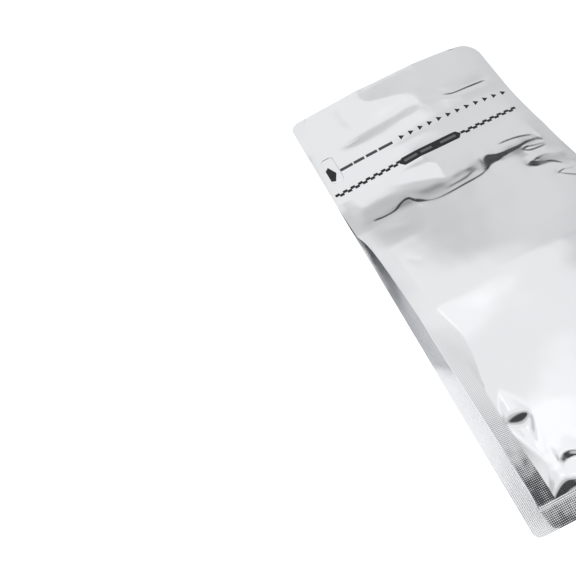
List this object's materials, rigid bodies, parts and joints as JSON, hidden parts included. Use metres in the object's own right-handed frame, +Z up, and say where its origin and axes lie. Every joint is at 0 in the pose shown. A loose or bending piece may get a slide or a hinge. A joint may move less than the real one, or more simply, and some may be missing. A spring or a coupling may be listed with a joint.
{
  "type": "flat bottom bag",
  "caption": "Empty foil flat bottom pouch lying on its back, with side gussets, sealed corner fins, a zip and a pull tab.",
  "frame": {"origin": "middle of the bag's outline, on the surface that it lies on", "axes": "+X across the bag to its right as seen from above with the zip end away, +Y along it towards the zip end, +Z up through the front panel"},
  "size_m": [0.14, 0.294, 0.0378],
  "materials": {
    "foil_film": "glossy foil film with soft waves, and embossed seals along its fins",
    "tab_film": "satin foil film, die-cut, with a small dark printed patch"
  },
  "bodies": {
    "root": {"bag": "foil_film", "pull_tab": "tab_film"}
  },
  "joints": []
}
